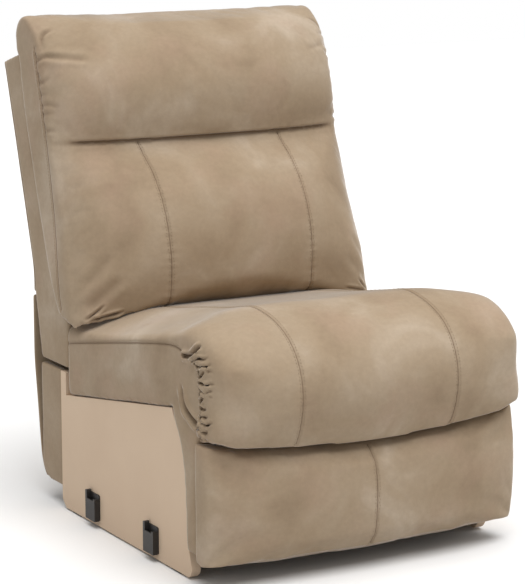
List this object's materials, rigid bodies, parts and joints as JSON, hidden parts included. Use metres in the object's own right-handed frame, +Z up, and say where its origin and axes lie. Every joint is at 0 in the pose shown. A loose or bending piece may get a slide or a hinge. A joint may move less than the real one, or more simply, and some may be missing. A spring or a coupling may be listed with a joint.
{
  "type": "armless reclining sofa module",
  "caption": "Armless reclining sofa module with a plump back, a seat with a rolled front, a padded fold-out footrest on scissor links, and a seat that glides on inclined tracks.",
  "frame": {"origin": "on the floor under the middle of the module's overall box, closed and upright", "axes": "+Z up, -Y to the front of the seat, +X to the right as seen from the front"},
  "size_m": [0.724, 1.0069, 1.0541],
  "materials": {
    "suede": "brushed mottled tan suede",
    "lining": "plain beige lining",
    "timber": "raw plywood and softwood",
    "steel": "black painted steel",
    "black_plastic": "black moulded plastic",
    "nylon": "white nylon",
    "webbing": "black elastic webbing"
  },
  "bodies": {
    "base": {"left_side_panel": "timber", "right_side_panel": "timber", "left_side_lining": "lining", "right_side_lining": "lining", "floor_glides": "nylon", "front_stretcher": "timber", "rear_stretcher": "timber", "left_rear_post": "suede", "right_rear_post": "suede", "rear_sheet": "suede", "left_track": "steel", "right_track": "steel", "left_front_joiner": "black_plastic", "left_rear_joiner": "black_plastic", "right_front_joiner": "black_plastic", "right_rear_joiner": "black_plastic"},
    "seat": {"left_seat_rail": "timber", "right_seat_rail": "timber", "front_seat_rail": "timber", "rear_seat_rail": "timber", "seat_deck": "timber", "seat_cushion": "suede", "slide_bars": "steel", "slide_blocks": "nylon", "left_front_post": "suede", "right_front_post": "suede", "left_linkage_bracket": "steel", "right_linkage_bracket": "steel", "left_hinge_plate": "steel", "right_hinge_plate": "steel"},
    "back": {"left_back_post": "timber", "right_back_post": "timber", "back_top_rail": "timber", "back_middle_rail": "timber", "back_lower_rail": "timber", "back_webbing": "webbing", "outer_back": "suede", "back_cap": "timber", "left_back_wing": "suede", "right_back_wing": "suede", "left_back_ear": "steel", "right_back_ear": "steel", "lumbar_cushion": "suede", "head_cushion": "suede"},
    "long_links": {"left_long_link": "steel", "right_long_link": "steel", "cross_tube": "steel", "long_link_rivets": "steel"},
    "cross_links": {"left_cross_link": "steel", "right_cross_link": "steel", "cross_link_rivets": "steel"},
    "front_links": {"left_front_link": "steel", "right_front_link": "steel"},
    "lift_links": {"left_lift_link": "steel", "right_lift_link": "steel", "lift_link_rivets": "steel"},
    "footrest": {"footrest_board": "timber", "footrest_pad": "suede", "left_footrest_bracket": "steel", "right_footrest_bracket": "steel"}
  },
  "joints": [
    {"name": "seat_glide", "type": "slide", "parent": "base", "child": "seat", "axis": [0, -0.9877, 0.1564], "range_m": [0, 0.14]},
    {"name": "back_recline", "type": "hinge", "parent": "seat", "child": "back", "pos_m": [0, 0.27156, 0.32996], "axis": [-1, 0, 0], "range_deg": [0, 26]},
    {"name": "footrest_fold", "type": "hinge", "parent": "seat", "child": "long_links", "pos_m": [0, -0.31135, 0.22714], "axis": [-1, 0, 0], "range_deg": [0, 97]},
    {"name": "cross_link_pivot", "type": "hinge", "parent": "long_links", "child": "cross_links", "pos_m": [0, -0.29264, 0.1391], "axis": [-1, 0, 0], "range_deg": [-124, 0]},
    {"name": "front_link_pivot", "type": "hinge", "parent": "cross_links", "child": "front_links", "pos_m": [0, -0.3349, 0.21857], "axis": [-1, 0, 0], "range_deg": [0, 124]},
    {"name": "lift_link_pivot", "type": "hinge", "parent": "long_links", "child": "lift_links", "pos_m": [0, -0.27393, 0.05107], "axis": [-1, 0, 0], "range_deg": [-124, 0]},
    {"name": "footrest_tilt", "type": "hinge", "parent": "lift_links", "child": "footrest", "pos_m": [0, -0.35844, 0.21], "axis": [-1, 0, 0], "range_deg": [0, 117]}
  ],
  "couplings": [
    {"joint": "back_recline", "follows": "seat_glide", "rad_per_m": 3.2412},
    {"joint": "cross_link_pivot", "follows": "footrest_fold", "ratio": -1.2784},
    {"joint": "front_link_pivot", "follows": "footrest_fold", "ratio": 1.2784},
    {"joint": "lift_link_pivot", "follows": "footrest_fold", "ratio": -1.2784},
    {"joint": "footrest_tilt", "follows": "footrest_fold", "ratio": 1.2062}
  ]
}
